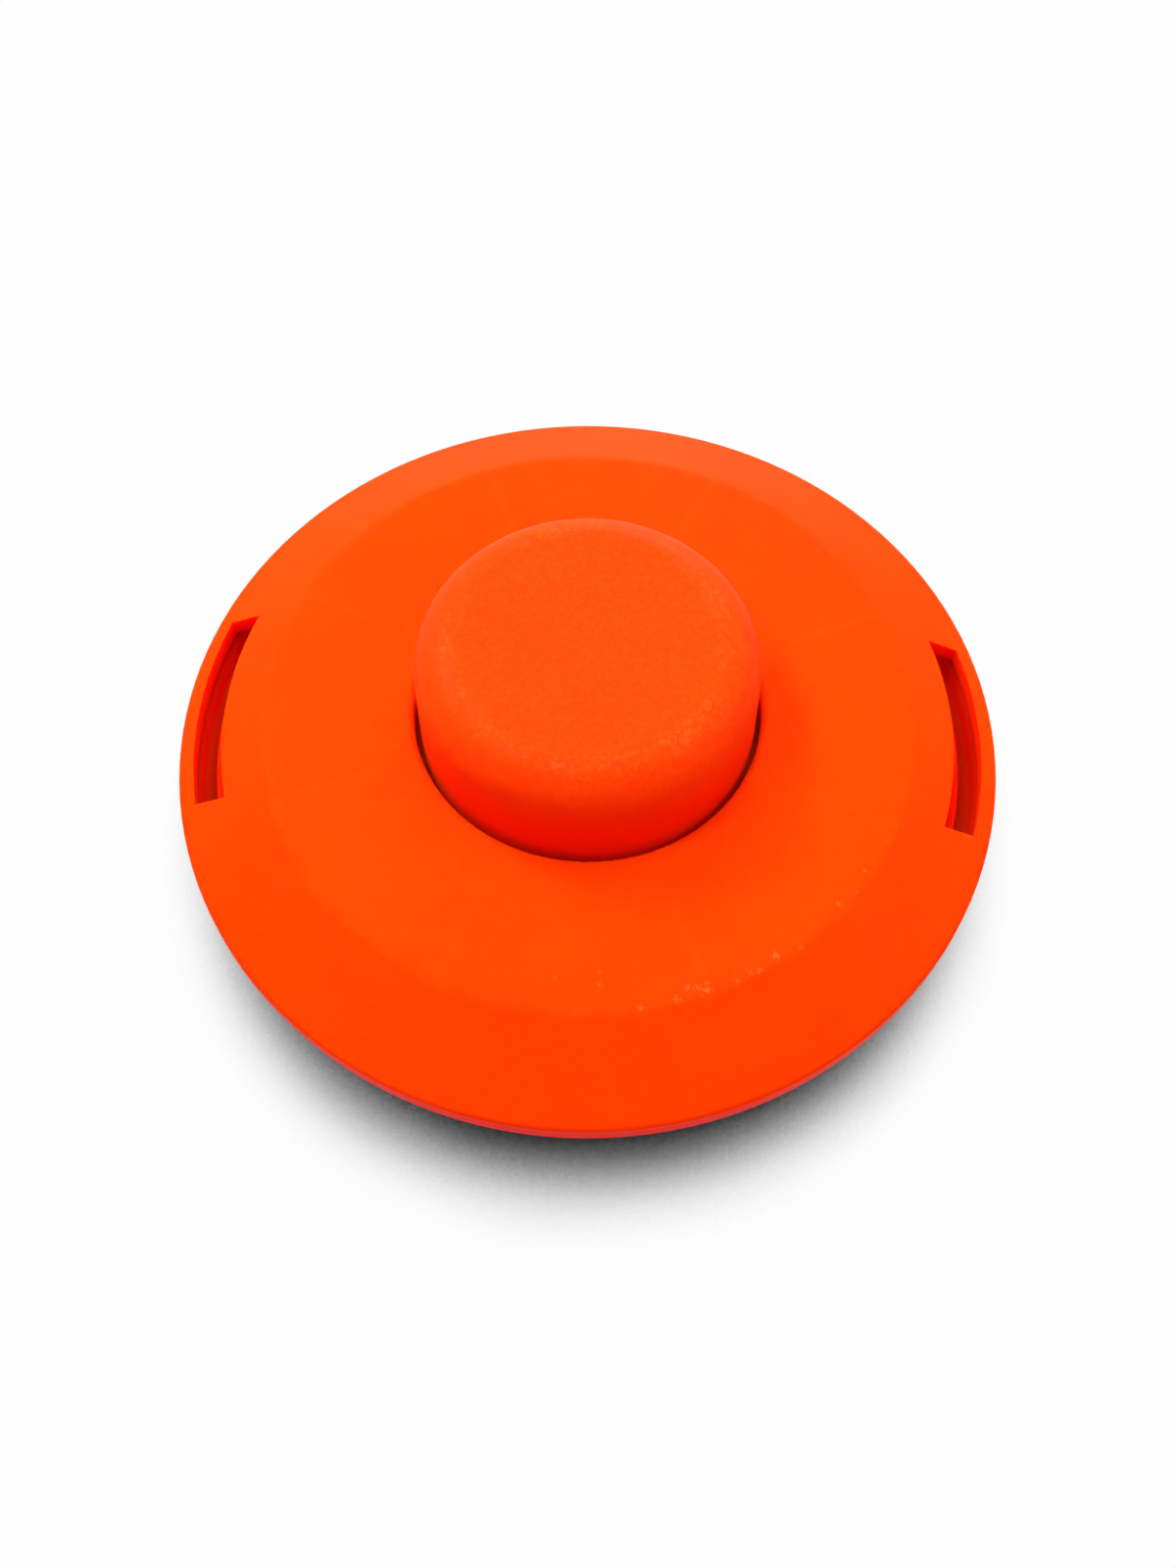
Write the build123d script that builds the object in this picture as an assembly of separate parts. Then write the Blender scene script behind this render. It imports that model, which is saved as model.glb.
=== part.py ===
from build123d import *
import os
from math import sqrt

# Bump-feed head of a string trimmer, lying on its mounting hub with the knob up.
# Millimetres. The origin is the centre of the hub's mounting face and +Z points to the knob.
# The two cap latches are on the X axis and the two line eyelets on the Y axis.

# Cap: the bevelled disc that closes the head on the knob side
cap_radius = 57.5
ridge_radius = 44.9  # where the bevel meets the flat ring
hole_radius = 24.0  # the knob comes through here
bevel_rise = 6.7  # from the rim's top edge to the ridge
ring_rise = 0.4  # from the ridge to the hole
rim_height = 2.4  # upright edge of the rim
cap_wall = 2.4
skirt_wall = 2.6  # rim wall outside the windows
rim_rounding = 0.9
ridge_rounding = 3.0
hole_rounding = 0.8
edge_break = 0.3  # small rounding on moulded edges
collar_wall = 1.8  # tube round the hole, under the ring
cap_rib_count = 8
cap_rib_width = 1.6
cap_rib_depth = 1.8
foot_width = 2.2  # locating foot at the outer end of each rib
foot_depth = 1.1  # how far a foot dips inside the spigot

# Latches: windows in the cap's bevel, and the housing's sprung tongues that stand in them
window_width = 4.0
window_angle = 33.4
frame_wall = 1.7  # wall that hangs from a window's inner edge
frame_side = 1.9  # degrees that this wall reaches past each end of the window
ledge_width = 0.8  # step on that wall, under the tongue's hook
ledge_height = 1.6
hook_depth = 4.4  # from the window's inner edge down to the hook's top
hook_height = 1.6
hook_ramp = 1.0
tongue_wall = 1.4
tongue_gap = 0.85  # between a tongue and the bowl
pocket_depth = 10.0  # from the rim's seat down to a tongue's root
pocket_wall = 1.5
pocket_floor = 1.6
pocket_side = 2.0  # degrees that a pocket's end wall takes up
pocket_taper = 1.0  # how much a pocket's outer wall leans in
notch_side = 0.6  # degrees of play at the ends of a latch

# Bump knob
knob_proud = 15.2  # above the ring
knob_rounding = 5.5
knob_wall = 2.5
knob_top_wall = 3.2
knob_draft = 0.4  # how much narrower the knob is at its top
key_count = 4
key_width = 3.0
key_reach = 3.0
key_lift = 1.0  # a key starts this far above the spool

# Spool
core_radius = 21.5
core_wall = 2.4
flange_wall = 1.6
flange_count = 3
chamber_height = 5.0
web_wall = 2.4
sleeve_wall = 2.0
sleeve_length = 8.0
spigot_wall = 2.2
spigot_height = 6.0
bead_height = 3.6  # of the snap bead above the spool's top face
bead_width = 1.6
bead_proud = 0.4
park_width = 2.8  # notches that park the line in the outer flanges
park_depth = 7.0
anchor_width = 5.0  # slot that the folded line is hung over in the middle flange
anchor_depth = 12.0

# Feed stops: lugs on the spool that catch on blocks under the cap
stop_count = 4
stop_width = 6.0
stop_length = 4.4
stop_height = 2.6
stop_ramp = 1.6
stop_turn = 14.0  # degrees from a block to the next lug at rest
stop_gap = 3.4  # between the spool and the ring above it
bump_travel = 5.0

# Housing: the bowl on the gearbox side
housing_wall = 2.4
floor_wall = 2.5
bowl_taper = 1.2  # how much narrower the bowl is at its floor
bowl_rounding = 5.0
rim_flange_wall = 1.4
spigot_rise = 2.2  # how far the bowl's wall stands up inside the cap
hub_height = 5.0
hub_radius = 21.0
hub_rounding = 0.8
hub_rim_wall = 2.4  # outer ring of the hub's cored face
hub_core_depth = 4.0
hub_web_count = 6
hub_web_angle = 8.0
gusset_count = 12
gusset_width = 1.8
gusset_rise = 1.2  # a gusset starts this far above the mounting face
gusset_inset = 4.0  # a gusset ends this far inside the bowl
post_wall = 2.2  # outside the nut's corners
post_rise = 1.5  # above the spool
floor_rounding = 3.0  # inside corner of the bowl

# Drive nut for a 10 mm left-hand arbor, and the shaft's room in the hub
nut_flats = 17.0
nut_height = 8.4
thread_radius = 4.32  # minor radius of the thread
thread_chamfer = 0.7
nut_chamfer = 0.8
hub_lip = 3.0  # plastic under the nut
neck_radius = 6.4  # round neck of the nut, through that plastic
shaft_room = 7.0

# Line eyelets
eyelet_bore = 2.0
eyelet_wall = 1.0
eyelet_flange = 4.4
eyelet_flange_wall = 1.2
eyelet_lip = 0.8  # how far an eyelet stands out of its boss
eyelet_rounding = 0.5
boss_radius = 5.2  # thick wall round an eyelet
boss_proud = 1.0

# Feed spring and its washer
wire = 1.5
spring_turns = 5.0
washer_wall = 1.0

# Clearances
knob_gap = 0.7  # knob to the cap's hole
spool_gap = 3.4  # spool to the bowl
floor_gap = 0.8  # pressed spool to the bowl's floor
collar_gap = 0.2  # cap's collar to the spool
latch_gap = 0.15
pocket_gap = 0.2
notch_gap = 0.5
foot_gap = 0.2
rib_gap = 1.0  # ribs to the stop blocks
bearing_gap = 0.12  # spool's sleeve on the post
spring_gap = 0.6
washer_gap = 0.25
stop_side = 0.6  # stop blocks to the cap's collar
snap_gap = 0.1  # knob on the spool's spigot
insert_gap = 0.02  # metal set into plastic
flange_setback = 0.2  # housing's flange inside the cap's rim
spare = 1.0  # overshoot of a cut, or overlap of a joined piece

# Heights, from the mounting face up
floor_top = hub_height + floor_wall
spool_bottom = floor_top + bump_travel + floor_gap
spool_top = spool_bottom + flange_count * flange_wall + (flange_count - 1) * chamber_height
ring_underside = spool_top + stop_gap
ring_top = ring_underside + cap_wall
ridge_top = ring_top - ring_rise
rim_top = ridge_top - bevel_rise
rim_seat = rim_top - rim_height
rim_underside = rim_seat - rim_flange_wall
knob_top = ring_top + knob_proud
web_bottom = spool_top - web_wall
washer_bottom = web_bottom - washer_wall
collar_bottom = spool_top + collar_gap
post_top = spool_top + post_rise
eyelet_height = spool_bottom + flange_wall + chamber_height / 2
nut_top = hub_lip + nut_height
spigot_top = rim_seat + spigot_rise

# Radii, from the rim inwards
window_outer = cap_radius - skirt_wall
window_inner = window_outer - window_width
ledge_outer = window_inner + ledge_width
hook_inner = window_inner + latch_gap
tongue_inner = ledge_outer + latch_gap
tongue_outer = tongue_inner + tongue_wall
pocket_inner = window_outer + pocket_gap
pocket_outer = pocket_inner + pocket_wall
bowl_radius = tongue_inner - tongue_gap
bowl_inner = bowl_radius - housing_wall
spool_radius = bowl_inner - bowl_taper - spool_gap
collar_outer = hole_radius + collar_wall
stop_inner = collar_outer + stop_side
stop_outer = stop_inner + stop_length
knob_radius = hole_radius - knob_gap
knob_inner = knob_radius - knob_wall
spigot_outer = knob_inner - snap_gap
spigot_inner = spigot_outer - spigot_wall
core_inner = core_radius - core_wall
nut_corner = nut_flats / sqrt(3)
neck_seat = neck_radius + insert_gap
post_radius = nut_corner + post_wall
sleeve_inner = post_radius + bearing_gap
sleeve_outer = sleeve_inner + sleeve_wall
spring_radius = sleeve_outer + spring_gap + wire / 2
eyelet_outer = eyelet_bore + eyelet_wall
eyelet_seat = bowl_inner - bowl_taper
eyelet_face = bowl_radius + boss_proud

# The bevel's slope, and heights on its surface and its underside
bevel_slope = bevel_rise / (cap_radius - ridge_radius)
bevel_depth = cap_wall * sqrt(1 + bevel_slope**2)
ridge_inset = cap_wall * (sqrt(1 + bevel_slope**2) - 1) / bevel_slope


def bevel_top(radius):
    return rim_top + (cap_radius - radius) * bevel_slope


def bevel_underside(radius):
    return bevel_top(radius) - bevel_depth


hook_top = bevel_top(window_inner) - hook_depth
hook_bottom = hook_top - hook_height
ledge_top = hook_bottom - latch_gap
frame_bottom = ledge_top - ledge_height
notch_bottom = min(frame_bottom, rim_seat) - notch_gap
pocket_bottom = rim_seat - pocket_depth
latch_room = window_angle + 2 * (frame_side + notch_side)
latch_sides = (0, 180)
eyelet_sides = {"eyelet_front": 180, "eyelet_back": 0}


def turned(*corners):
    # Corners are radius, height and rounding, in order round the section.
    outline = make_face(Polyline(*[(radius, height) for radius, height, _ in corners], close=True))
    for radius, height, rounding in corners:
        if rounding:
            corner = outline.vertices().sort_by_distance((radius, height))[0]
            outline = fillet(corner, rounding)
    return revolve(Plane.XZ * outline, Axis.Z)


def ring(inner, outer, bottom, top):
    return extrude(Pos(0, 0, bottom) * (Circle(outer) - Circle(inner)), top - bottom)


def disc(radius, bottom, top):
    return extrude(Pos(0, 0, bottom) * Circle(radius), top - bottom)


def section(points):
    return Plane.XZ * make_face(Polyline(*points, close=True))


def box_points(inner, outer, bottom, top):
    return [(inner, bottom), (outer, bottom), (outer, top), (inner, top)]


def sector(points, angle, middle):
    # A section turned through part of a circle, centred on the middle angle.
    return Rot(0, 0, middle - angle / 2) * revolve(section(points), Axis.Z, angle)


def plate(points, width, angle):
    return Rot(0, 0, angle) * extrude(section(points), width / 2, both=True)


def tooth(points, angle):
    # Points are along the turning direction and up, and the tooth runs outwards.
    face = Plane.YZ.offset(stop_inner) * make_face(Polyline(*points, close=True))
    return Rot(0, 0, angle) * extrude(face, stop_length)


def spread(count, start=0.0):
    return [start + 360 / count * step for step in range(count)]


def sideways(solid, angle):
    # Lays a piece that was made along Z on the eyelets' axis.
    return Rot(0, 0, angle) * Pos(0, 0, eyelet_height) * Rot(-90, 0, 0) * solid


def make_cap():
    ridge_under = ridge_radius - ridge_inset
    cap = turned(
        (cap_radius, rim_seat, edge_break),
        (cap_radius, rim_top, rim_rounding),
        (ridge_radius, ridge_top, ridge_rounding),
        (hole_radius, ring_top, hole_rounding),
        (hole_radius, collar_bottom, edge_break),
        (collar_outer, collar_bottom, edge_break),
        (collar_outer, ring_underside, 0),
        (ridge_under, ridge_top - cap_wall, 0),
        (window_outer, bevel_underside(window_outer), 0),
        (window_outer, rim_seat, 0),
    )
    inside = turned(
        (0, 0, 0),
        (window_outer, 0, 0),
        (window_outer, bevel_underside(window_outer) + cap_wall / 2, 0),
        (ridge_under, ridge_top - cap_wall / 2, 0),
        (0, ridge_top - cap_wall / 2, 0),
    )
    frame_inner = window_inner - frame_wall
    frame = [
        (frame_inner, frame_bottom),
        (ledge_outer, frame_bottom),
        (ledge_outer, ledge_top),
        (window_inner, ledge_top),
        (window_inner, ridge_top),
        (frame_inner, ridge_top),
    ]
    frames = [sector(frame, window_angle + 2 * frame_side, middle) for middle in latch_sides]
    for piece in cap_ribs() + cap_stops() + frames:
        cap += piece & inside
    window = box_points(window_inner, window_outer, ledge_top, ridge_top)
    for middle in latch_sides:
        cap -= sector(window, window_angle, middle)
    return cap


def cap_ribs():
    # Radial ribs under the ring, each with a foot that centres the cap in the bowl's spigot.
    foot_outer = bowl_inner - foot_gap
    foot_inner = foot_outer - foot_width
    foot_bottom = spigot_top - foot_depth
    rib_inner = stop_outer + rib_gap
    rib_bottom = ring_underside - cap_rib_depth
    rib = [
        (rib_inner, rib_bottom),
        (foot_inner, rib_bottom),
        (foot_inner, foot_bottom),
        (foot_outer, foot_bottom),
        (foot_outer, ridge_top),
        (rib_inner, ridge_top),
    ]
    return [plate(rib, cap_rib_width, angle) for angle in spread(cap_rib_count, 180 / cap_rib_count)]


def cap_stops():
    block = [
        (-stop_width / 2, ring_underside - stop_height),
        (stop_width / 2 - stop_ramp, ring_underside - stop_height),
        (stop_width / 2, ring_underside),
        (stop_width / 2, ridge_top),
        (-stop_width / 2, ridge_top),
    ]
    return [tooth(block, angle) for angle in spread(stop_count)]


def make_knob():
    ceiling = knob_top - knob_top_wall
    knob = turned(
        (0, knob_top, 0),
        (knob_radius - knob_draft, knob_top, knob_rounding),
        (knob_radius, spool_top, edge_break),
        (knob_inner, spool_top, 0),
        (knob_inner, ceiling, knob_rounding - knob_wall),
        (0, ceiling, 0),
    )
    bead_middle = spool_top + bead_height
    groove_half = bead_width / 2 + snap_gap
    knob -= turned(
        (knob_inner - spare, bead_middle - groove_half, 0),
        (knob_inner, bead_middle - groove_half, 0),
        (knob_inner + bead_proud, bead_middle, 0),
        (knob_inner, bead_middle + groove_half, 0),
        (knob_inner - spare, bead_middle + groove_half, 0),
    )
    key = box_points(knob_inner - key_reach, knob_inner + knob_wall / 2, spool_top + key_lift, ceiling)
    keys = [plate(key, key_width, angle) for angle in key_angles]
    for piece in keys:
        knob += piece
    return knob


def make_spool():
    spool = ring(core_inner, core_radius, spool_bottom, spool_top)
    spool += ring(sleeve_inner, core_radius, web_bottom, spool_top)
    spool += ring(sleeve_inner, sleeve_outer, web_bottom - sleeve_length, spool_top)
    spool += ring(spigot_inner, spigot_outer, web_bottom, spool_top + spigot_height)
    bead_middle = spool_top + bead_height
    spool += turned(
        (spigot_inner, bead_middle - bead_width / 2, 0),
        (spigot_outer, bead_middle - bead_width / 2, 0),
        (spigot_outer + bead_proud, bead_middle, 0),
        (spigot_outer, bead_middle + bead_width / 2, 0),
        (spigot_inner, bead_middle + bead_width / 2, 0),
    )
    for low in flange_levels:
        spool += turned(
            (core_inner, low, 0),
            (spool_radius, low, edge_break),
            (spool_radius, low + flange_wall, edge_break),
            (core_inner, low + flange_wall, 0),
        )
    for piece in spool_lugs():
        spool += piece
    for piece in spool_cuts():
        spool -= piece
    return spool


def spool_lugs():
    lug = [
        (-stop_width / 2, spool_top - flange_wall / 2),
        (stop_width / 2, spool_top - flange_wall / 2),
        (stop_width / 2, spool_top + stop_height),
        (-stop_width / 2 + stop_ramp, spool_top + stop_height),
        (-stop_width / 2, spool_top),
    ]
    return [tooth(lug, angle) for angle in spread(stop_count, stop_turn)]


def spool_cuts():
    keyway = box_points(spigot_inner - spare, spigot_outer + spare, spool_top, knob_top)
    cuts = [plate(keyway, key_width + 2 * snap_gap, angle) for angle in key_angles]
    first, *middle, last = flange_levels
    for low, angle in ((first, 90), (first, 270), (last, 90), (last, 270)):
        cuts.append(flange_slot(low, park_width, park_depth, angle))
    for low in middle:
        cuts.append(flange_slot(low, anchor_width, anchor_depth, 0))
    return cuts


def flange_slot(low, width, depth, angle):
    # A round-ended slot in from the edge of the flange that starts at this height.
    bottom = low - chamber_height / 2
    top = low + flange_wall + chamber_height / 2
    bottom_of_slot = spool_radius - depth + width / 2
    slot = plate(box_points(bottom_of_slot, spool_radius + spare, bottom, top), width, 0)
    return Rot(0, 0, angle) * (slot + Pos(bottom_of_slot, 0, 0) * disc(width / 2, bottom, top))


def make_housing():
    bowl_foot = bowl_radius - bowl_taper
    flange_radius = cap_radius - flange_setback
    housing = turned(
        (neck_seat, 0, edge_break),
        (hub_radius, 0, hub_rounding),
        (hub_radius, hub_height, 0),
        (bowl_foot, hub_height, bowl_rounding),
        (bowl_radius, rim_underside, 0),
        (flange_radius, rim_underside, edge_break),
        (flange_radius, rim_seat, edge_break),
        (bowl_radius, rim_seat, 0),
        (bowl_radius, spigot_top, edge_break),
        (bowl_inner, spigot_top, edge_break),
        (bowl_inner - bowl_taper, floor_top, floor_rounding),
        (post_radius, floor_top, 0),
        (post_radius, post_top, edge_break),
        (shaft_room, post_top, edge_break),
        (shaft_room, nut_top, 0),
        (neck_seat, nut_top, 0),
    )
    for piece in gussets() + latch_pockets() + eyelet_bosses():
        housing += piece
    for piece in hub_cores() + latch_rooms() + eyelet_holes():
        housing -= piece
    nut_room = RegularPolygon(nut_corner + insert_gap, 6)
    housing -= extrude(Pos(0, 0, hub_lip - insert_gap) * nut_room, nut_height + 2 * insert_gap)
    for middle in latch_sides:
        housing += sector(tongue_points(), window_angle - 2 * notch_side, middle)
    return housing


def gussets():
    reach = bowl_radius - bowl_taper - gusset_inset
    root = hub_height + floor_wall / 2
    points = [
        (hub_radius - spare, gusset_rise),
        (hub_radius, gusset_rise),
        (reach, hub_height),
        (reach, root),
        (hub_radius - spare, root),
    ]
    return [plate(points, gusset_width, angle) for angle in spread(gusset_count, 180 / gusset_count)]


def hub_cores():
    # Hollows in the mounting face, between its outer ring and the boss round the nut.
    points = box_points(post_radius, hub_radius - hub_rim_wall, -spare, hub_core_depth)
    angle = 360 / hub_web_count - hub_web_angle
    return [sector(points, angle, middle) for middle in spread(hub_web_count)]


def latch_pockets():
    root = bowl_radius - housing_wall / 2
    bottom = pocket_bottom - pocket_floor
    pocket = [
        (root, bottom),
        (pocket_outer - pocket_taper, bottom),
        (pocket_outer, rim_seat),
        (root, rim_seat),
    ]
    return [sector(pocket, latch_room + 2 * pocket_side, middle) for middle in latch_sides]


def latch_rooms():
    # The pocket round a tongue, and the notch in the bowl's wall for the window's frame.
    room_top = spigot_top + spare
    room = [
        (bowl_radius, pocket_bottom),
        (pocket_inner - pocket_taper, pocket_bottom),
        (pocket_inner, rim_underside),
        (pocket_inner, room_top),
        (bowl_inner - spare, room_top),
        (bowl_inner - spare, notch_bottom),
        (bowl_radius, notch_bottom),
    ]
    return [sector(room, latch_room, middle) for middle in latch_sides]


def tongue_points():
    root = pocket_bottom - pocket_floor / 2
    return [
        (tongue_inner, root),
        (tongue_outer, root),
        (tongue_outer, hook_top),
        (hook_inner + hook_ramp, hook_top),
        (hook_inner, hook_top - hook_ramp),
        (hook_inner, hook_bottom),
        (tongue_inner, hook_bottom),
    ]


def eyelet_bosses():
    boss = disc(boss_radius, eyelet_seat, eyelet_face)
    return [sideways(boss, angle) for angle in eyelet_sides.values()]


def eyelet_holes():
    hole = disc(eyelet_outer + insert_gap, eyelet_seat - spare, eyelet_face + spare)
    return [sideways(hole, angle) for angle in eyelet_sides.values()]


def make_eyelet(angle):
    inner_end = eyelet_seat - eyelet_flange_wall
    outer_end = eyelet_face + eyelet_lip
    eyelet = turned(
        (eyelet_bore, inner_end, eyelet_rounding),
        (eyelet_flange, inner_end, edge_break),
        (eyelet_flange, eyelet_seat, 0),
        (eyelet_outer, eyelet_seat, 0),
        (eyelet_outer, outer_end, edge_break),
        (eyelet_bore, outer_end, eyelet_rounding),
    )
    return sideways(eyelet, angle)


def make_nut():
    nut = extrude(Pos(0, 0, hub_lip) * RegularPolygon(nut_corner, 6), nut_height)
    nut &= turned(
        (0, hub_lip, 0),
        (nut_corner - nut_chamfer, hub_lip, 0),
        (nut_corner, hub_lip + nut_chamfer / 2, 0),
        (nut_corner, nut_top - nut_chamfer / 2, 0),
        (nut_corner - nut_chamfer, nut_top, 0),
        (0, nut_top, 0),
    )
    nut += disc(neck_radius, 0, hub_lip + spare)
    nut -= turned(
        (0, 0, 0),
        (thread_radius + thread_chamfer, 0, 0),
        (thread_radius, thread_chamfer, 0),
        (thread_radius, nut_top - thread_chamfer, 0),
        (thread_radius + thread_chamfer, nut_top, 0),
        (0, nut_top, 0),
    )
    return nut


def make_spring():
    # A round wire along a helix, ground flat where it meets the floor and the washer.
    length = washer_bottom - floor_top
    path = Pos(0, 0, floor_top) * Helix(length / spring_turns, length, spring_radius)
    spring = sweep(Plane(origin=path @ 0, z_dir=path % 0) * Circle(wire / 2), path, is_frenet=True)
    return spring & disc(spring_radius + wire, floor_top, washer_bottom)


def make_washer():
    return ring(sleeve_outer + washer_gap, core_inner - washer_gap, washer_bottom, web_bottom)


flange_levels = [spool_bottom + step * (flange_wall + chamber_height) for step in range(flange_count)]
key_angles = spread(key_count, 180 / key_count)
nodes = {
    "housing": make_housing(),
    "cap": make_cap(),
    "spool": make_spool(),
    "bump_knob": make_knob(),
    "feed_spring": make_spring(),
    "thrust_washer": make_washer(),
    "arbor_nut": make_nut(),
}
for name, angle in eyelet_sides.items():
    nodes[name] = make_eyelet(angle)
os.makedirs("parts", exist_ok=True)
for name, solid in nodes.items():
    export_step(solid, f"parts/{name}.step")
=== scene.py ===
import bpy
import math
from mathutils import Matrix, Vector


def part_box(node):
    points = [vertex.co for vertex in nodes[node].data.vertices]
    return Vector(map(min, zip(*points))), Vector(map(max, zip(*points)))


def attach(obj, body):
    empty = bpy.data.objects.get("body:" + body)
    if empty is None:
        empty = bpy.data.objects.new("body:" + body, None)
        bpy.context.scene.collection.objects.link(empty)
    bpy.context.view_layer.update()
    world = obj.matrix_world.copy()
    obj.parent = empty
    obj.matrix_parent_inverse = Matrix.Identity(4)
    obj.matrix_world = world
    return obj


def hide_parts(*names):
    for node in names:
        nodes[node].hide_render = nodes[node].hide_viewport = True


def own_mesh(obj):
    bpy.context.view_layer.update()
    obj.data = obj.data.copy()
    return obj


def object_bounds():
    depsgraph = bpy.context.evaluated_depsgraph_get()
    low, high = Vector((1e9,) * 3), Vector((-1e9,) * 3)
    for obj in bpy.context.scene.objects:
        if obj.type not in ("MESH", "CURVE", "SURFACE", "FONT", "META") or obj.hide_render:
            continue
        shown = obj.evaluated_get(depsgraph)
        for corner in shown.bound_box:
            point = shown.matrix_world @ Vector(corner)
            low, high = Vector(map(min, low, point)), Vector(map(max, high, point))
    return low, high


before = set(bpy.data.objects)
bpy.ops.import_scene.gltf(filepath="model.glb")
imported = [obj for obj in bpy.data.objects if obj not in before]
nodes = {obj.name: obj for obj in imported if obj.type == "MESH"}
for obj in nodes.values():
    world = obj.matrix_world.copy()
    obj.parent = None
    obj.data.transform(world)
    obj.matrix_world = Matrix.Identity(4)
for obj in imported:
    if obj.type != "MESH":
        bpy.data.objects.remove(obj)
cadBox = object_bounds()
mm = 0.001
print("frame loaded,", len(nodes), "solids")


# Node helpers

def link(tree, value, socket):
    if isinstance(value, bpy.types.NodeSocket):
        tree.links.new(value, socket)
    else:
        socket.default_value = value


def calc(tree, operation, *values):
    node = tree.nodes.new("ShaderNodeMath")
    node.operation = operation
    for value, socket in zip(values, node.inputs):
        link(tree, value, socket)
    return node.outputs[0]


def calcVector(tree, operation, *values):
    node = tree.nodes.new("ShaderNodeVectorMath")
    node.operation = operation
    for value, socket in zip(values, node.inputs):
        link(tree, value, socket)
    return node.outputs["Value" if operation in ("LENGTH", "DISTANCE") else "Vector"]


def smoothStep(tree, value, low, high, start=0.0, end=1.0):
    node = tree.nodes.new("ShaderNodeMapRange")
    node.interpolation_type = "SMOOTHSTEP"
    for given, name in ((value, "Value"), (low, "From Min"), (high, "From Max"),
                        (start, "To Min"), (end, "To Max")):
        link(tree, given, node.inputs[name])
    return node.outputs["Result"]


def noise(tree, place, scale, detail=2.0, roughness=0.5):
    node = tree.nodes.new("ShaderNodeTexNoise")
    for given, name in ((place, "Vector"), (scale, "Scale"), (detail, "Detail"), (roughness, "Roughness")):
        link(tree, given, node.inputs[name])
    return node.outputs["Fac"]


def mixColour(tree, factor, first, second):
    node = tree.nodes.new("ShaderNodeMix")
    node.data_type = "RGBA"
    link(tree, factor, node.inputs["Factor"])
    for given, socket in zip((first, second), [s for s in node.inputs if s.type == "RGBA"]):
        link(tree, given if isinstance(given, bpy.types.NodeSocket) else (*given, 1.0), socket)
    return [s for s in node.outputs if s.type == "RGBA"][0]


def startGroup(name, inputs, outputs):
    group = bpy.data.node_groups.new(name, "ShaderNodeTree")
    for label, kind, value in inputs:
        group.interface.new_socket(label, in_out="INPUT", socket_type=kind).default_value = value
    for label in outputs:
        group.interface.new_socket(label, in_out="OUTPUT", socket_type="NodeSocketFloat")
    return group, group.nodes.new("NodeGroupInput").outputs, group.nodes.new("NodeGroupOutput").inputs


def place(tree):
    return tree.nodes.new("ShaderNodeTexCoord").outputs["Object"]


def coordinates(tree, spot):
    parts = tree.nodes.new("ShaderNodeSeparateXYZ")
    tree.links.new(spot, parts.inputs[0])
    return parts.outputs


def axisRadius(tree, spot):
    return calcVector(tree, "LENGTH", calcVector(tree, "MULTIPLY", spot, (1, 1, 0)))


def useGroup(tree, group, **values):
    node = tree.nodes.new("ShaderNodeGroup")
    node.node_tree = group
    for name, value in values.items():
        node.inputs[name].default_value = value
    return node.outputs


# Shared effects

grainSet = {
    "fineScale": 2.7,             # finer than the coarse grain
    "fineShare": 0.5,
    "speckle": (0.36, 0.66),      # noise levels where a speckle starts and is full
    "cloud": (0.3, 0.7),
}


def makeGrain():
    # fine spark-eroded texture of the mould, and slow cloudy changes of tone
    tree, given, out = startGroup("mouldGrain", [
        ("grain", "NodeSocketFloat", 1500.0),
        ("cloud", "NodeSocketFloat", 60.0),
    ], ["height", "speckle", "cloudiness"])
    spot = place(tree)
    coarse = noise(tree, spot, given["grain"], 2.0, 0.55)
    fine = noise(tree, spot, calc(tree, "MULTIPLY", given["grain"], grainSet["fineScale"]), 1.0, 0.5)
    tone = noise(tree, spot, given["cloud"], 4.0, 0.6)
    tree.links.new(calc(tree, "MULTIPLY_ADD", fine, grainSet["fineShare"], coarse), out["height"])
    tree.links.new(smoothStep(tree, coarse, *grainSet["speckle"]), out["speckle"])
    tree.links.new(smoothStep(tree, tone, *grainSet["cloud"]), out["cloudiness"])
    return tree


wearAndHighlightSet = {
    "patchScale": 0.12,           # rubbed patches, against the specks in them
    "patchLift": 0.5,
    "bareLimit": 0.78,            # noise level above which a speck shows where the cover is nothing
    "coverShare": 0.3,
    "edge": 0.12,
}


def makeRingWearAndHighlight():
    # rubbed specks in a band round the axis; on the knob's top edge the band is partly a painted highlight
    tree, given, out = startGroup("ringWearAndHighlight", [
        ("radius", "NodeSocketFloat", 0.04),
        ("width", "NodeSocketFloat", 0.002),
        ("speck", "NodeSocketFloat", 900.0),
        ("cover", "NodeSocketFloat", 0.5),
    ], ["mask"])
    spot = place(tree)
    away = calc(tree, "ABSOLUTE", calc(tree, "SUBTRACT", axisRadius(tree, spot), given["radius"]))
    band = smoothStep(tree, calc(tree, "DIVIDE", away, given["width"]), 1.0, 0.0)
    speck = noise(tree, spot, given["speck"], 3.0, 0.65)
    patch = noise(tree, spot, calc(tree, "MULTIPLY", given["speck"], wearAndHighlightSet["patchScale"]), 2.0, 0.5)
    limit = calc(tree, "SUBTRACT", wearAndHighlightSet["bareLimit"],
                 calc(tree, "MULTIPLY", given["cover"], wearAndHighlightSet["coverShare"]))
    both = calc(tree, "MULTIPLY", speck, calc(tree, "ADD", patch, wearAndHighlightSet["patchLift"]))
    rubbed = smoothStep(tree, both, limit, calc(tree, "ADD", limit, wearAndHighlightSet["edge"]))
    tree.links.new(calc(tree, "MULTIPLY", rubbed, band), out["mask"])
    return tree


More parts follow.
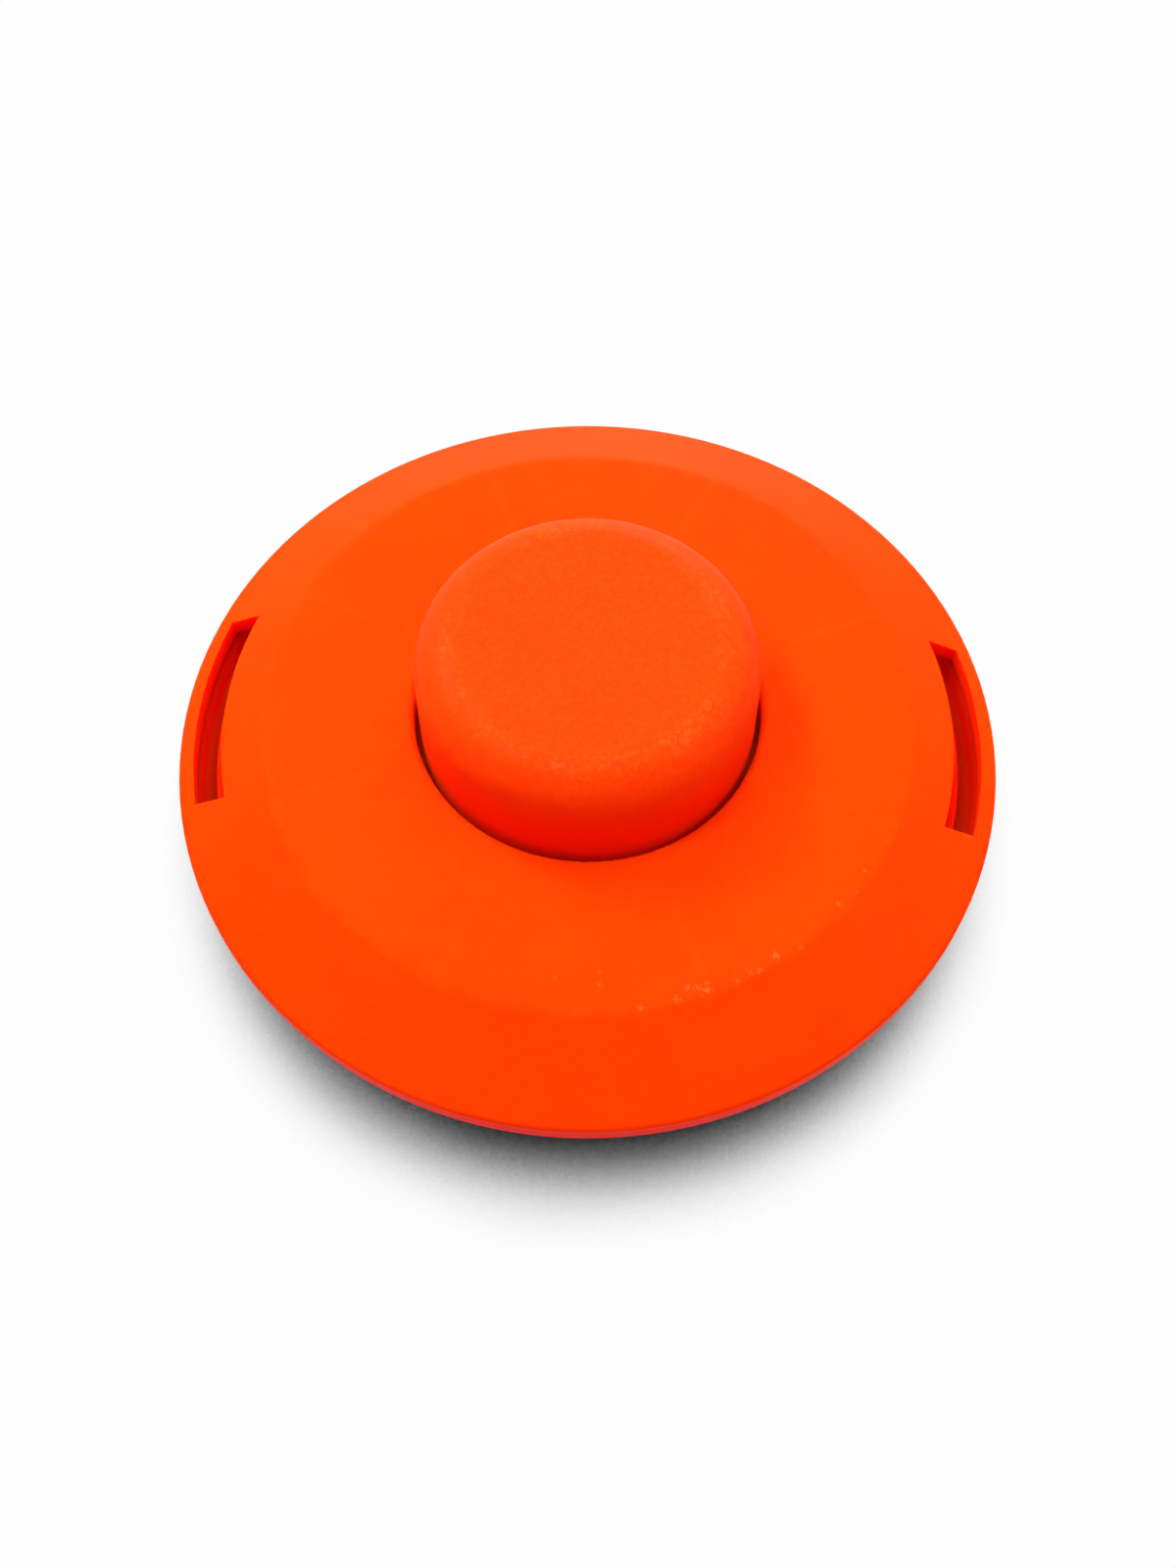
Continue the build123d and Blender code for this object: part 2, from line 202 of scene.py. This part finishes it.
def makeSinkMarks():
    # shallow lines that show where ribs stand on the other side of a wall
    tree, given, out = startGroup("sinkMarks", [
        ("count", "NodeSocketFloat", 8.0),
        ("halfWidth", "NodeSocketFloat", 0.001),
        ("inner", "NodeSocketFloat", 0.03),
        ("outer", "NodeSocketFloat", 0.045),
    ], ["mask"])
    spot = place(tree)
    along = coordinates(tree, spot)
    radius = axisRadius(tree, spot)
    turn = calc(tree, "ARCTAN2", along["Y"], along["X"])
    step = calc(tree, "DIVIDE", 2 * math.pi, given["count"])
    # half a step round, so that the lines fall between the axes
    inStep = calc(tree, "SUBTRACT", calc(tree, "FLOORED_MODULO", turn, step), calc(tree, "MULTIPLY", step, 0.5))
    away = calc(tree, "ABSOLUTE", calc(tree, "MULTIPLY", inStep, radius))
    line = smoothStep(tree, calc(tree, "DIVIDE", away, given["halfWidth"]), 1.0, 0.0)
    fade = 4 * mm
    inside = smoothStep(tree, radius, given["inner"], calc(tree, "ADD", given["inner"], fade))
    outside = smoothStep(tree, radius, given["outer"], calc(tree, "SUBTRACT", given["outer"], fade))
    tree.links.new(calc(tree, "MULTIPLY", line, calc(tree, "MULTIPLY", inside, outside)), out["mask"])
    return tree


latheSet = {"wobbleScale": 700.0, "wobble": 2.0, "tone": (0.3, 0.7)}


def makeLatheMarks():
    # fine rings left by turning or drawing, round any axis
    tree, given, out = startGroup("latheMarks", [
        ("centre", "NodeSocketVector", (0, 0, 0)),
        ("across", "NodeSocketVector", (1, 1, 0)),
        ("pitch", "NodeSocketFloat", 0.0002),
    ], ["height", "tone"])
    spot = calcVector(tree, "SUBTRACT", place(tree), given["centre"])
    radius = calcVector(tree, "LENGTH", calcVector(tree, "MULTIPLY", spot, given["across"]))
    wobble = noise(tree, place(tree), latheSet["wobbleScale"], 3.0, 0.6)
    turns = calc(tree, "ADD", calc(tree, "DIVIDE", radius, given["pitch"]),
                 calc(tree, "MULTIPLY", wobble, latheSet["wobble"]))
    wave = calc(tree, "SINE", calc(tree, "MULTIPLY", turns, 2 * math.pi))
    tree.links.new(calc(tree, "MULTIPLY_ADD", wave, 0.5, 0.5), out["height"])
    tree.links.new(smoothStep(tree, wobble, *latheSet["tone"]), out["tone"])
    return tree


def makePaintedShade():
    # painted shade: a deeper red in places below a level or a cone, where shade falls
    tree, given, out = startGroup("paintedShadeZone", [
        ("inner", "NodeSocketFloat", 0.0),
        ("outer", "NodeSocketFloat", 1.0),
        ("halfLength", "NodeSocketFloat", 1.0),
        ("level", "NodeSocketFloat", 0.0),
        ("slope", "NodeSocketFloat", 0.0),
        ("start", "NodeSocketFloat", 0.0),
        ("full", "NodeSocketFloat", 0.001),
        ("reach", "NodeSocketFloat", 1.0),
    ], ["mask"])
    spot = place(tree)
    parts = coordinates(tree, spot)
    radius = axisRadius(tree, spot)
    surface = calc(tree, "SUBTRACT", given["level"], calc(tree, "MULTIPLY", radius, given["slope"]))
    depth = calc(tree, "SUBTRACT", surface, parts["Z"])
    across = calc(tree, "MULTIPLY", calc(tree, "GREATER_THAN", radius, given["inner"]),
                  calc(tree, "LESS_THAN", radius, given["outer"]))
    along = calc(tree, "LESS_THAN", calc(tree, "ABSOLUTE", parts["Y"]), given["halfLength"])
    inside = calc(tree, "MULTIPLY", calc(tree, "MULTIPLY", across, along),
                  calc(tree, "LESS_THAN", depth, given["reach"]))
    paintedShade = smoothStep(tree, depth, given["start"], given["full"])
    tree.links.new(calc(tree, "MULTIPLY", paintedShade, inside), out["mask"])
    return tree


grainGroup = makeGrain()
wearAndHighlightGroup = makeRingWearAndHighlight()
sinkGroup = makeSinkMarks()
latheGroup = makeLatheMarks()
paintedShadeGroup = makePaintedShade()
print("shared effects made")


# Nylon, for all the moulded pieces

def startMaterial(name):
    material = bpy.data.materials.new(name)
    material.use_nodes = True
    tree = material.node_tree
    shader = next(n for n in tree.nodes if n.type == "BSDF_PRINCIPLED")
    return material, tree, shader


def shade(colour, amount):
    return tuple(min(1.0, c * amount) for c in colour)


def makeNylon(name, look):
    material, tree, shader = startMaterial(name)
    grain = useGroup(tree, grainGroup, grain=look["grain"], cloud=look["cloud"])
    colour = mixColour(tree, grain["cloudiness"], *(shade(look["colour"], tone) for tone in look["tones"]))
    colour = mixColour(tree, calc(tree, "MULTIPLY", grain["speckle"], look["speckle"]), colour, look["pale"])
    # pale rubbed band: wear, and on the knob partly a painted highlight
    wearAndHighlight = useGroup(tree, wearAndHighlightGroup, radius=look["wearAndHighlightRadius"], width=look["wearAndHighlightWidth"],
                    speck=look["wearAndHighlightSpeck"], cover=look["wearAndHighlightCover"])["mask"]
    colour = mixColour(tree, calc(tree, "MULTIPLY", wearAndHighlight, look["wearAndHighlightShow"]), colour, look["pale"])
    # painted shade: a deeper red mixed in where shade falls, in recesses and low places
    for paintedShadeZone in look["paintedShadeZones"]:
        paintedShade = useGroup(tree, paintedShadeGroup, **paintedShadeZone)["mask"]
        colour = mixColour(tree, calc(tree, "MULTIPLY", paintedShade, look["paintedShadeShow"]), colour, look["paintedShade"])
    height = calc(tree, "MULTIPLY", grain["height"], look["grainDepth"] / look["bumpDepth"])
    rough = calc(tree, "MULTIPLY_ADD", grain["speckle"], look["roughSpeckle"], look["roughness"])
    if "sink" in look:
        sink = look["sink"]
        mark = useGroup(tree, sinkGroup, count=sink["count"], halfWidth=sink["halfWidth"],
                        inner=sink["inner"], outer=sink["outer"])["mask"]
        height = calc(tree, "MULTIPLY_ADD", mark, -sink["depth"] / look["bumpDepth"], height)
        colour = mixColour(tree, calc(tree, "MULTIPLY", mark, sink["show"]), colour, look["pale"])
    for x, y, size in look.get("nicks", []):
        mask = nick(tree, x * mm, y * mm, size * mm)
        colour = mixColour(tree, calc(tree, "MULTIPLY", mask, look["nickShow"]), colour, look["scraped"])
        height = calc(tree, "MULTIPLY_ADD", mask, -look["nickDepth"] / look["bumpDepth"], height)
    bump = tree.nodes.new("ShaderNodeBump")
    bump.inputs["Distance"].default_value = look["bumpDepth"]
    tree.links.new(height, bump.inputs["Height"])
    tree.links.new(bump.outputs["Normal"], shader.inputs["Normal"])
    tree.links.new(colour, shader.inputs["Base Color"])
    tree.links.new(rough, shader.inputs["Roughness"])
    shader.inputs["Specular IOR Level"].default_value = look["gloss"]
    shader.inputs["Specular Tint"].default_value = (*look["tint"], 1.0)
    shader.inputs["Subsurface Weight"].default_value = look["glow"]
    shader.inputs["Subsurface Radius"].default_value = look["glowReach"]
    shader.inputs["Subsurface Scale"].default_value = look["glowScale"]
    shader.inputs["Sheen Weight"].default_value = look["sheen"]
    shader.inputs["Sheen Roughness"].default_value = look["sheenRoughness"]
    shader.inputs["Sheen Tint"].default_value = (*look["sheenTint"], 1.0)
    return material


nickSet = {"specks": 2.4, "ragged": 5.0, "edge": 0.4, "core": 0.1}   # against a nick's size


def nick(tree, x, y, size):
    # a small scrape, broken into specks
    spot = calcVector(tree, "MULTIPLY", place(tree), (1, 1, 0))
    shake = noise(tree, spot, nickSet["specks"] / size, 3.0, 0.7)
    far = calcVector(tree, "DISTANCE", spot, (x, y, 0.0))
    ragged = calc(tree, "MULTIPLY_ADD", calc(tree, "SUBTRACT", shake, 0.5), nickSet["ragged"] * size, far)
    return smoothStep(tree, ragged, nickSet["edge"] * size, nickSet["core"] * size)


def dress(node, material):
    for slot in nodes[node].material_slots:
        slot.material = material


orange = (0.96, 0.078, 0.0008)
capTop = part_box("cap")[1].z
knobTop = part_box("bump_knob")[1].z

# painted shade: a deeper red inside the latch windows, under the rim's edge and low on the knob, where shade
# falls
windowPaintedShade = {"inner": 50.6 * mm, "outer": 55.6 * mm, "halfLength": 15.4 * mm, "level": capTop + 23.47 * mm,
                 "slope": 0.5317, "start": 0.1 * mm, "full": 0.6 * mm, "reach": 12.0 * mm}
rimPaintedShade = {"inner": 56.5 * mm, "level": capTop - 7.1 * mm, "start": 0.3 * mm, "full": 1.5 * mm,
              "reach": 3.75 * mm}
knobPaintedShade = {"inner": -1.0, "level": knobTop - 3.0 * mm, "full": 9.0 * mm}

capLook = {
    "colour": orange,
    "tones": (0.965, 1.03),       # cloudy changes of it
    "pale": (1.0, 0.14, 0.006),
    "scraped": (1.0, 0.26, 0.07),
    "paintedShade": (1.0, 0.02, 0.0004),  # painted shade, a deeper red where shade falls
    "paintedShadeShow": 1.0,
    "paintedShadeZones": [windowPaintedShade, rimPaintedShade],
    "grain": 1500.0,              # bumps per metre
    "cloud": 55.0,
    "speckle": 0.07,
    "grainDepth": 0.009 * mm,
    "bumpDepth": 0.05 * mm,
    "roughness": 0.38,
    "roughSpeckle": 0.08,
    "gloss": 0.035,
    "tint": (1.0, 0.45, 0.06),
    "glow": 0.9,                  # light that goes into the nylon and comes out red
    "glowReach": (1.0, 0.1, 0.03),
    "glowScale": 4.0 * mm,
    "sheen": 0.1,
    "sheenTint": (1.0, 0.25, 0.02),
    "sheenRoughness": 0.4,
    "wearAndHighlightRadius": 44.6 * mm,      # along the ridge
    "wearAndHighlightWidth": 1.0 * mm,
    "wearAndHighlightSpeck": 1100.0,
    "wearAndHighlightCover": 0.6,
    "wearAndHighlightShow": 0.3,
    "sink": {"count": 8.0, "halfWidth": 1.1 * mm, "inner": 29 * mm, "outer": 47 * mm,
             "depth": 0.02 * mm, "show": 0.12},
    # scrapes on and near the ridge: x, y and size in millimetres
    "nicks": [(3.3, -39.4, 0.5), (3.4, -41.0, 0.6), (-2.2, -40.3, 0.4), (14.3, -40.9, 0.7), (15.5, -40.8, 0.7),
              (16.7, -40.1, 0.6), (16.8, -41.2, 1.0), (13.0, -42.4, 0.8), (8.5, -43.8, 0.9), (20.6, -39.7, 0.6),
              (22.0, -38.5, 0.8), (23.3, -38.0, 0.7), (25.2, -36.1, 1.0), (28.5, -34.7, 0.6), (33.5, -28.6, 0.6),
              (35.9, -26.8, 0.5), (37.0, -23.7, 0.5)],
    "nickShow": 0.6,
    "nickDepth": 0.02 * mm,
}
# on the knob the pale band round the top edge is partly wear and partly a painted highlight
knobLook = dict(capLook, grain=1300.0, speckle=0.16, grainDepth=0.018 * mm, pale=(1.0, 0.18, 0.02),
                gloss=0.07, tint=(1.0, 0.5, 0.2), wearAndHighlightRadius=18.6 * mm, wearAndHighlightWidth=2.8 * mm,
                wearAndHighlightSpeck=1400.0, wearAndHighlightCover=0.8, wearAndHighlightShow=0.45, nicks=[], paintedShadeShow=0.8,
                paintedShadeZones=[knobPaintedShade])
housingLook = dict(capLook, wearAndHighlightRadius=57.0 * mm, wearAndHighlightWidth=1.2 * mm, nicks=[],
                   paintedShadeZones=[dict(windowPaintedShade, reach=7.0 * mm), rimPaintedShade])
spoolLook = dict(capLook, grain=2200.0, grainDepth=0.004 * mm, roughness=0.42, wearAndHighlightRadius=43.6 * mm,
                 wearAndHighlightWidth=1.5 * mm, nicks=[], paintedShadeZones=[])
for look in (knobLook, housingLook, spoolLook):
    look.pop("sink")
dress("cap", makeNylon("capNylon", capLook))
dress("bump_knob", makeNylon("knobNylon", knobLook))
dress("housing", makeNylon("housingNylon", housingLook))
dress("spool", makeNylon("spoolNylon", spoolLook))
print("nylon pieces dressed")


# Steel, for the spring, washer, nut and eyelets

steelSet = {"tones": (0.86, 1.08), "roughTone": 0.14}


def makeSteel(name, look):
    material, tree, shader = startMaterial(name)
    marks = useGroup(tree, latheGroup, centre=look["centre"], across=look["across"], pitch=look["pitch"])
    colour = mixColour(tree, marks["tone"], *(shade(look["colour"], tone) for tone in steelSet["tones"]))
    rough = calc(tree, "MULTIPLY_ADD", marks["tone"], steelSet["roughTone"], look["roughness"])
    bump = tree.nodes.new("ShaderNodeBump")
    bump.inputs["Distance"].default_value = look["depth"]
    tree.links.new(marks["height"], bump.inputs["Height"])
    tree.links.new(bump.outputs["Normal"], shader.inputs["Normal"])
    tree.links.new(colour, shader.inputs["Base Color"])
    tree.links.new(rough, shader.inputs["Roughness"])
    shader.inputs["Metallic"].default_value = 1.0
    return material


def middle(node):
    low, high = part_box(node)
    return (low + high) / 2


washerLook = {"colour": (0.6, 0.6, 0.6), "centre": (0, 0, 0), "across": (1, 1, 0), "pitch": 0.25 * mm,
              "depth": 0.004 * mm, "roughness": 0.28}
eyeletLook = {"colour": (0.66, 0.66, 0.67), "centre": tuple(middle("eyelet_front")), "across": (1, 0, 1),
              "pitch": 0.15 * mm, "depth": 0.003 * mm, "roughness": 0.2}
dress("thrust_washer", makeSteel("washerSteel", washerLook))
eyeletSteel = makeSteel("eyeletSteel", eyeletLook)
for name in ("eyelet_front", "eyelet_back"):
    dress(name, eyeletSteel)
print("steel pieces dressed")


# Pieces made here

def gridPiece(name, rows, closed):
    # rows of points, each row a closed loop, joined to the next by four-sided faces
    points = [p for row in rows for p in row]
    across = len(rows[0])
    count = len(rows) if closed else len(rows) - 1
    faces = []
    for i in range(count):
        low, high = i * across, (i + 1) % len(rows) * across
        for j in range(across):
            k = (j + 1) % across
            faces.append((low + j, high + j, high + k, low + k))
    if not closed:
        faces.append(tuple(range(across)))
        faces.append(tuple(reversed(range((len(rows) - 1) * across, len(rows) * across))))
    mesh = bpy.data.meshes.new(name)
    mesh.from_pydata(points, [], faces)
    mesh.update()
    piece = bpy.data.objects.new(name, mesh)
    bpy.context.scene.collection.objects.link(piece)
    return piece


def smooth(piece, angle):
    for face in piece.data.polygons:
        face.use_smooth = True
    piece.data.set_sharp_from_angle(angle=math.radians(angle))


springSet = {
    "wire": 1.5 * mm,
    "turns": 5.0,
    "stepsPerTurn": 64,
    "sides": 20,
    "travel": 5.0 * mm,           # how far the knob pushes it down
    "smoothAngle": 50,
}
springLook = {"colour": (0.42, 0.42, 0.43), "centre": (0, 0, 0), "across": (1, 1, 0), "pitch": 0.1 * mm,
              "depth": 0.002 * mm, "roughness": 0.32}


def makeSpring():
    low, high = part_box("feed_spring")
    bottom, top = low.z, high.z
    wireRadius = springSet["wire"] / 2
    coil = (high.x - low.x) / 2 - wireRadius
    steps = int(springSet["turns"] * springSet["stepsPerTurn"])
    rows = []
    for i in range(steps + 1):
        turn = 2 * math.pi * springSet["turns"] * i / steps
        level = bottom + (top - bottom) * i / steps
        row = []
        for j in range(springSet["sides"]):
            side = 2 * math.pi * j / springSet["sides"]
            radius = coil + wireRadius * math.cos(side)
            # the ends are ground flat on the floor and the washer
            z = min(max(level + wireRadius * math.sin(side), bottom), top)
            row.append((radius * math.cos(turn), radius * math.sin(turn), z))
        rows.append(row)
    spring = gridPiece("feedSpring", rows, False)
    smooth(spring, springSet["smoothAngle"])
    spring.data.materials.append(makeSteel("springSteel", springLook))
    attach(spring, "head")
    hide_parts("feed_spring")
    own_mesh(spring)


nutSet = {
    "flats": 17.0 * mm,
    "neckRadius": 6.4 * mm,
    "neckHeight": 3.0 * mm,
    "chamfer": 0.8 * mm,
    "minor": 4.32 * mm,           # thread, across its crests
    "major": 5.0 * mm,
    "pitch": 1.25 * mm,
    "leadIn": 0.7 * mm,
    "columns": 96,
    "rowsPerPitch": 16,
    "chamferRows": 4,
    "smoothAngle": 25,
}
nutLook = {"colour": (0.58, 0.58, 0.56), "centre": (0, 0, 0), "across": (1, 1, 0), "pitch": 0.3 * mm,
           "depth": 0.003 * mm, "roughness": 0.3}


def threadRadius(z, turn, bottom, top):
    # left-handed, with a flat crest a quarter pitch wide and a root an eighth
    phase = (z / nutSet["pitch"] + turn / (2 * math.pi)) % 1.0
    crest, flank, root = 0.25, 0.3125, 0.125
    if phase < crest:
        share = 0.0
    elif phase < crest + flank:
        share = (phase - crest) / flank
    elif phase < crest + flank + root:
        share = 1.0
    else:
        share = (1.0 - phase) / flank
    radius = nutSet["minor"] + (nutSet["major"] - nutSet["minor"]) * share
    end = min(z - bottom, top - z)
    return max(radius, nutSet["minor"] + nutSet["leadIn"] - end)


def hexRadius(turn):
    side = math.pi / 3
    return nutSet["flats"] / 2 / math.cos(turn % side - side / 2)


def makeNut():
    low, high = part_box("arbor_nut")
    bottom, top = low.z, high.z
    corner = nutSet["flats"] / math.sqrt(3)
    shoulder = bottom + nutSet["neckHeight"]
    levels = int((top - bottom) / nutSet["pitch"] * nutSet["rowsPerPitch"])
    profile = []                  # height and a rule for the radius, up the bore and down the outside
    for i in range(levels + 1):
        z = bottom + (top - bottom) * i / levels
        profile.append((z, lambda turn, z=z: threadRadius(z, turn, bottom, top)))
    drop = nutSet["chamfer"] / 2
    cuts = nutSet["chamferRows"]
    for i in range(cuts + 1):
        limit = corner - nutSet["chamfer"] * (1 - i / cuts)
        profile.append((top - drop * i / cuts, lambda turn, limit=limit: min(hexRadius(turn), limit)))
    for i in range(cuts + 1):
        limit = corner - nutSet["chamfer"] * i / cuts
        z = shoulder + drop * (1 - i / cuts)
        profile.append((z, lambda turn, limit=limit: min(hexRadius(turn), limit)))
    profile.append((shoulder, lambda turn: nutSet["neckRadius"]))
    profile.append((bottom, lambda turn: nutSet["neckRadius"]))
    rows = []
    for z, radiusAt in profile:
        row = []
        for j in range(nutSet["columns"]):
            turn = 2 * math.pi * j / nutSet["columns"]
            row.append((radiusAt(turn) * math.cos(turn), radiusAt(turn) * math.sin(turn), z))
        rows.append(row)
    nut = gridPiece("arborNut", rows, True)
    smooth(nut, nutSet["smoothAngle"])
    nut.data.materials.append(makeSteel("nutSteel", nutLook))
    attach(nut, "head")
    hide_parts("arbor_nut")


makeSpring()
makeNut()
print("spring and nut made")


# Latches: the solids' windows and tongues, with the ends parallel and the tongues lower and slimmer

latchSet = {
    "solidHalfTurn": 16.7,        # degrees, to each end of a window in the solids
    "solidTongueTurn": 16.1,      # and of a tongue
    "inner": 50.9 * mm,           # a window's walls
    "outer": 54.9 * mm,
    "tongueOuter": 53.25 * mm,
    "hookBottom": 24.31 * mm,     # underside of a tongue's hook, and the ledge that it catches on
    "ledge": 24.16 * mm,
    "halfLength": 15.15 * mm,     # to each parallel end
    "endPlay": 0.5 * mm,
    "widen": 0.3 * mm,            # outwards
    "bevelSlope": 0.53,
    "drop": 1.0 * mm,
    "slim": 0.7 * mm,             # off the outer edge of a tongue's top
    "near": 0.03 * mm,
}


def inLatch(radius, turn, outer, halfTurn):
    near = latchSet["near"]
    if not latchSet["inner"] - near < radius < outer + near:
        return False
    return abs(turn) < math.radians(halfTurn) + near / radius


def moveWindow(radius, turn, z):
    near, outer = latchSet["near"], latchSet["outer"]
    if not inLatch(radius, turn, outer, latchSet["solidHalfTurn"]):
        return radius, turn, z
    turn *= math.asin(latchSet["halfLength"] / radius) / math.radians(latchSet["solidHalfTurn"])
    if radius > outer - near:
        radius += latchSet["widen"]
        if z > latchSet["hookBottom"] + latchSet["drop"]:
            z -= latchSet["widen"] * latchSet["bevelSlope"]
    elif abs(z - latchSet["ledge"]) < near:
        z -= latchSet["drop"]
    return radius, turn, z


def moveTongue(radius, turn, z):
    near, outer = latchSet["near"], latchSet["tongueOuter"]
    top = latchSet["hookBottom"] + near
    if z < latchSet["hookBottom"] - near or not inLatch(radius, turn, outer, latchSet["solidTongueTurn"]):
        return radius, turn, z
    end = math.asin((latchSet["halfLength"] - latchSet["endPlay"]) / radius)
    turn *= end / math.radians(latchSet["solidTongueTurn"])
    if z > top and radius > outer - near:
        radius -= latchSet["slim"]
    return radius, turn, z - latchSet["drop"]


def makeLatchPiece(name, node, move):
    mesh = nodes[node].data.copy()
    mesh.name = name
    piece = bpy.data.objects.new(name, mesh)
    bpy.context.scene.collection.objects.link(piece)
    for vertex in piece.data.vertices:
        x, y, z = vertex.co
        side = math.copysign(1.0, x)
        radius, turn, z = move(math.hypot(x, y), math.atan2(y, abs(x)), z)
        vertex.co = (side * radius * math.cos(turn), radius * math.sin(turn), z)
    piece.data.update()
    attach(piece, "head")
    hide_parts(node)


makeLatchPiece("capShell", "cap", moveWindow)
makeLatchPiece("bowlShell", "housing", moveTongue)
print("latches fitted")


# Floor, lights and camera

floorSet = {
    "size": 8.0,
    "level": -0.02 * mm,          # just clear of the hub's face
    "white": 0.99,                # as the camera and reflections see it
    "bounce": (0.62, 0.3, 0.2),   # as the light on the object sees it
    "shadowReach": 0.12,
    "shadowSamples": 20,
    "darkest": 0.455,             # open share of the sky where the shadow is black, and where it ends
    "lightest": 0.7,
}


def seenDirectly(tree):
    # true for the camera, reflections and glass
    path = tree.nodes.new("ShaderNodeLightPath").outputs
    seen = calc(tree, "MAXIMUM", path["Is Camera Ray"], path["Is Glossy Ray"])
    return calc(tree, "MAXIMUM", seen, path["Is Transmission Ray"])


def makeFloor():
    half, z = floorSet["size"] / 2, floorSet["level"]
    mesh = bpy.data.meshes.new("floor")
    corners = [(-half, -half, z), (half, -half, z), (half, half, z), (-half, half, z)]
    mesh.from_pydata(corners, [], [(0, 1, 2, 3)])
    floor = bpy.data.objects.new("floor", mesh)
    bpy.context.scene.collection.objects.link(floor)
    material = bpy.data.materials.new("paleFloor")
    material.use_nodes = True
    tree = material.node_tree
    tree.nodes.clear()
    paper = tree.nodes.new("ShaderNodeBsdfDiffuse")
    paper.inputs["Color"].default_value = (*floorSet["bounce"], 1.0)
    # the soft grey shadow lies where the object covers the sky
    sky = tree.nodes.new("ShaderNodeAmbientOcclusion")
    sky.samples = floorSet["shadowSamples"]
    sky.inputs["Distance"].default_value = floorSet["shadowReach"]
    shadow = smoothStep(tree, sky.outputs["AO"], floorSet["darkest"], floorSet["lightest"],
                        0.0, floorSet["white"])
    white = tree.nodes.new("ShaderNodeEmission")
    tree.links.new(shadow, white.inputs["Strength"])
    mix = tree.nodes.new("ShaderNodeMixShader")
    tree.links.new(seenDirectly(tree), mix.inputs[0])
    tree.links.new(paper.outputs[0], mix.inputs[1])
    tree.links.new(white.outputs[0], mix.inputs[2])
    # from below it can be looked through, so that the underside shows
    clear = tree.nodes.new("ShaderNodeBsdfTransparent")
    sides = tree.nodes.new("ShaderNodeMixShader")
    tree.links.new(tree.nodes.new("ShaderNodeNewGeometry").outputs["Backfacing"], sides.inputs[0])
    tree.links.new(mix.outputs[0], sides.inputs[1])
    tree.links.new(clear.outputs[0], sides.inputs[2])
    out = tree.nodes.new("ShaderNodeOutputMaterial")
    tree.links.new(sides.outputs[0], out.inputs["Surface"])
    mesh.materials.append(material)


worldSet = {"background": (0.99, 0.99, 0.99), "ambient": (0.6, 0.03, 0.01)}


def makeWorld():
    world = bpy.data.worlds.new("studio")
    bpy.context.scene.world = world
    world.use_nodes = True
    tree = world.node_tree
    shader = next(n for n in tree.nodes if n.type == "BACKGROUND")
    colour = mixColour(tree, seenDirectly(tree), worldSet["ambient"], worldSet["background"])
    tree.links.new(colour, shader.inputs["Color"])


lampAim = 0.7                     # share of the object's height that the lamps point at
# direction is from the object to the lamp: turn from +X and height, in degrees
lampSet = {
    "overhead": {"turn": 90.0, "height": 81.0, "distance": 0.9, "size": 0.55, "watts": 3.75},
    "leftBack": {"turn": 140.0, "height": 48.0, "distance": 0.8, "size": 0.2, "watts": 2.8},
    "left": {"turn": 190.0, "height": 60.0, "distance": 0.8, "size": 0.17, "watts": 1.15},
    "right": {"turn": 355.0, "height": 36.0, "distance": 0.8, "size": 0.3, "watts": 1.1},
    "back": {"turn": 80.0, "height": 24.0, "distance": 0.8, "size": 0.3, "watts": 1.4},
}


def makeLamps():
    aim = Vector((0, 0, cadBox[1].z * lampAim))
    for name, lamp in lampSet.items():
        turn, height = math.radians(lamp["turn"]), math.radians(lamp["height"])
        flat = math.cos(height)
        away = Vector((flat * math.cos(turn), flat * math.sin(turn), math.sin(height)))
        light = bpy.data.lights.new(name, "AREA")
        light.shape = "SQUARE"
        light.size = lamp["size"]
        light.energy = lamp["watts"]
        holder = bpy.data.objects.new(name, light)
        holder.location = aim + away * lamp["distance"]
        holder.rotation_euler = (-away).to_track_quat("-Z", "Y").to_euler()
        bpy.context.scene.collection.objects.link(holder)


cameraSet = {
    "image": (1200, 1600),        # pixels
    "turn": 2.65,                 # degrees to the right of straight on
    "height": 58.8,
    "distance": 215.6 * mm,
    "focal": 1550,                # pixels
    "aimPixel": (599.5, 744.6),   # where the rim's middle falls in the picture
    "sensor": 36.0,
    "rimDrop": 7.1 * mm,          # from the cap's top down to its rim
    "nearest": 10 * mm,           # nothing closer is drawn
}


def makeCamera():
    wide, tall = cameraSet["image"]
    aim = Vector((0, 0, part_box("cap")[1].z - cameraSet["rimDrop"]))
    turn, height = math.radians(cameraSet["turn"]), math.radians(cameraSet["height"])
    flat = math.cos(height)
    away = Vector((flat * math.sin(turn), -flat * math.cos(turn), math.sin(height)))
    camera = bpy.data.cameras.new("camera")
    camera.sensor_width = cameraSet["sensor"]
    camera.lens = cameraSet["focal"] / tall * cameraSet["sensor"]
    camera.shift_x = (wide / 2 - cameraSet["aimPixel"][0]) / tall
    camera.shift_y = (cameraSet["aimPixel"][1] - tall / 2) / tall
    camera.clip_start = cameraSet["nearest"]
    holder = bpy.data.objects.new("camera", camera)
    holder.location = aim + away * cameraSet["distance"]
    holder.rotation_euler = (-away).to_track_quat("-Z", "Y").to_euler()
    bpy.context.scene.collection.objects.link(holder)
    bpy.context.scene.camera = holder


makeFloor()
makeWorld()
makeLamps()
makeCamera()
bpy.context.scene.view_settings.view_transform = "Standard"
print("floor, lights and camera set")
